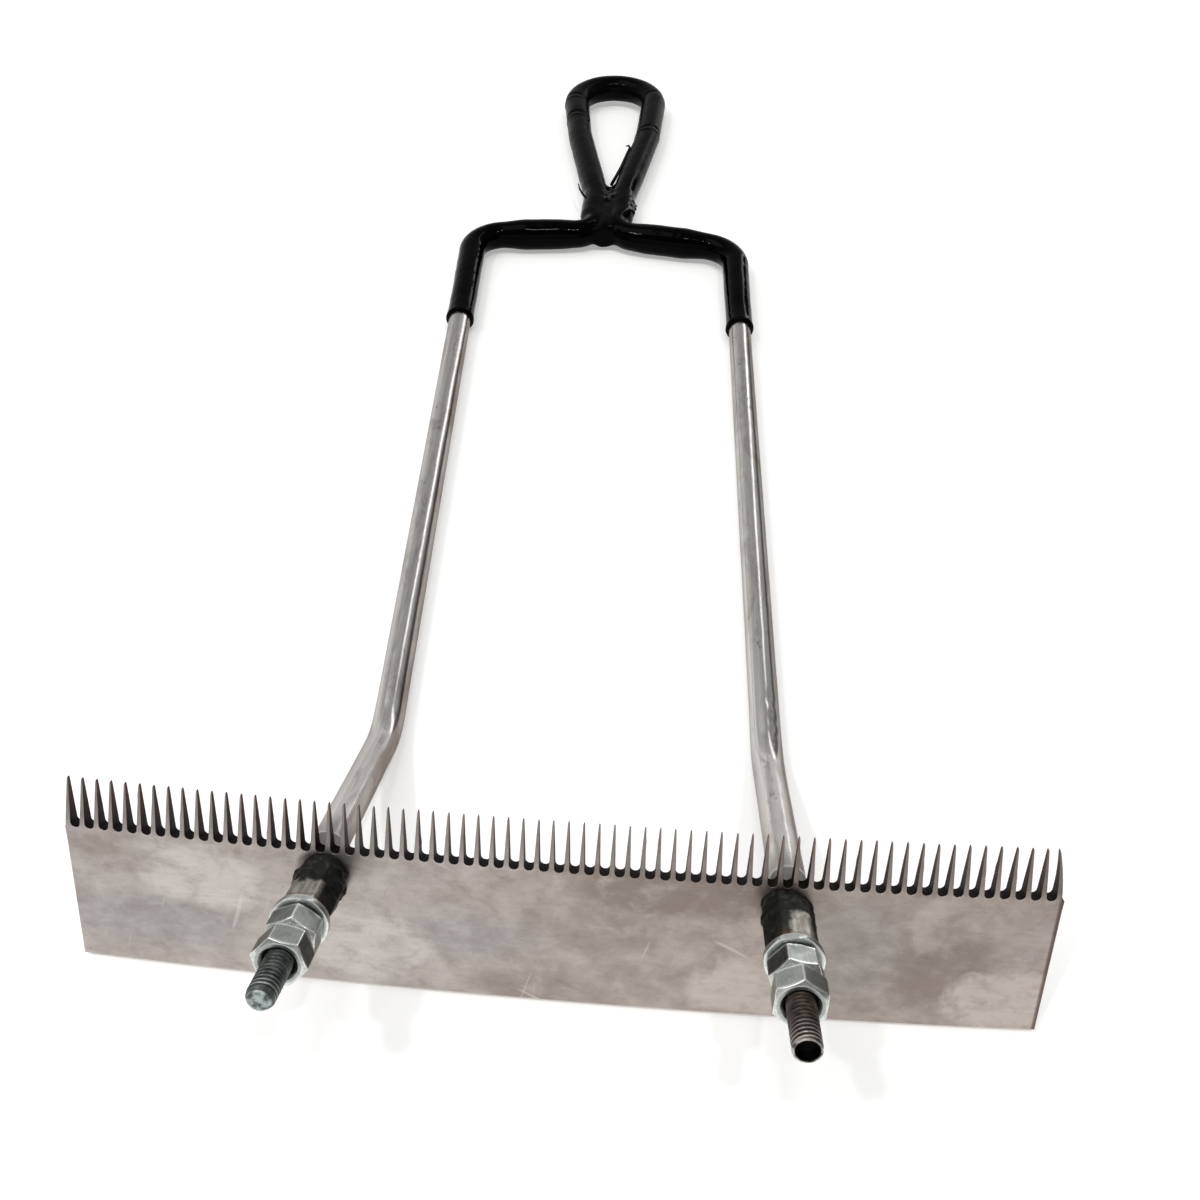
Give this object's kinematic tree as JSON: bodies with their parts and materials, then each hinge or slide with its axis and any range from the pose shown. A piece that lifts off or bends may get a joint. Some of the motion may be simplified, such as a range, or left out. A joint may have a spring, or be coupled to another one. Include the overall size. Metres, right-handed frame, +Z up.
{
  "type": "uncapping fork",
  "caption": "Hand tool with a wide fine-toothed steel comb set across the ends of a bent tube frame, locked by nuts on threaded studs, with a dipped black loop handle.",
  "frame": {"origin": "middle of the tool's footprint, on the surface it lies on", "axes": "+Y from the comb towards the loop handle, +X along the comb to the right when seen from the comb's front, +Z up"},
  "size_m": [0.2132, 0.4714, 0.0475],
  "materials": {
    "tube_steel": "satin drawn tube with long streaks and brown stains",
    "black_coating": "glossy dipped skin",
    "plate_steel": "satin, water-stained",
    "stud_steel": "dark oxidised thread with worn crests",
    "burnt_steel": "blackened by welding, part ground",
    "zinc_plate": "dull zinc plate with bright edges"
  },
  "bodies": {
    "fork_frame": {"frame_tube": "tube_steel", "handle_coating": "black_coating", "comb_plate": "plate_steel", "weld_nut_left": "burnt_steel", "weld_nut_right": "burnt_steel", "stud_left": "stud_steel", "stud_right": "stud_steel"},
    "washer_left": {"washer_left": "zinc_plate"},
    "nuts_left": {"clamp_nut_left": "zinc_plate", "lock_nut_left": "zinc_plate"},
    "washer_right": {"washer_right": "zinc_plate"},
    "nuts_right": {"clamp_nut_right": "zinc_plate", "lock_nut_right": "zinc_plate"}
  },
  "joints": [
    {"name": "left_washer_slide", "type": "slide", "parent": "fork_frame", "child": "washer_left", "axis": [0, -0.8813, 0.4726], "range_m": [0, 0.0101]},
    {"name": "left_nut_turn", "type": "hinge", "parent": "washer_left", "child": "nuts_left", "pos_m": [-0.0492, -0.19926, 0.02627], "axis": [0, -0.8813, 0.4726], "range_deg": [0, 3600]},
    {"name": "right_washer_slide", "type": "slide", "parent": "fork_frame", "child": "washer_right", "axis": [0, -0.8813, 0.4726], "range_m": [0, 0.0101]},
    {"name": "right_nut_turn", "type": "hinge", "parent": "washer_right", "child": "nuts_right", "pos_m": [0.0498, -0.19926, 0.02627], "axis": [0, -0.8813, 0.4726], "range_deg": [0, 3600]}
  ],
  "couplings": [
    {"joint": "left_washer_slide", "follows": "left_nut_turn", "m_per_rad": 0.00015915},
    {"joint": "right_washer_slide", "follows": "right_nut_turn", "m_per_rad": 0.00015915}
  ]
}
